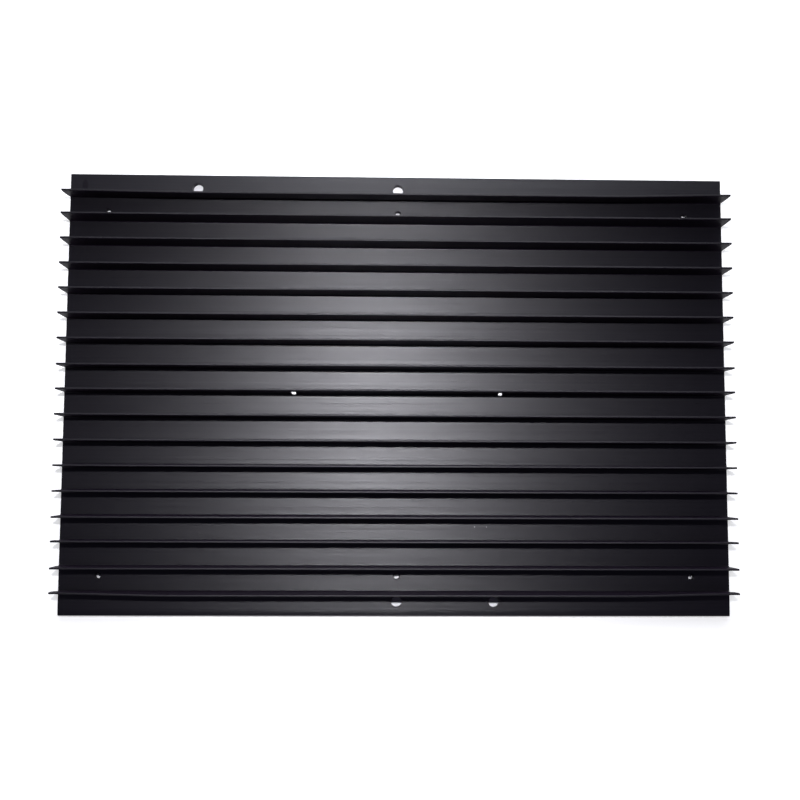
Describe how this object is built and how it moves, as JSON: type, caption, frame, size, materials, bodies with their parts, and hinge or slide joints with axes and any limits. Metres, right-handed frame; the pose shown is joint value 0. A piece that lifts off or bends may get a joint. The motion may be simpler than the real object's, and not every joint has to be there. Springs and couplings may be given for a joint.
{
  "type": "heat sink",
  "caption": "Flat rectangular aluminium heat sink, a thin plate with a row of upright cooling fins along its length and drilled fixing holes, black anodised.",
  "frame": {"origin": "centre of the flat back face, on the surface that the heat sink lies on", "axes": "+X along the fins, +Y across the fins, +Z from the back face up through the fins"},
  "size_m": [0.3, 0.2, 0.016],
  "materials": {
    "anodised_aluminium": "satin black anodised, with fine extrusion lines along the fins"
  },
  "bodies": {
    "root": {"heat_sink": "anodised_aluminium"}
  },
  "joints": []
}
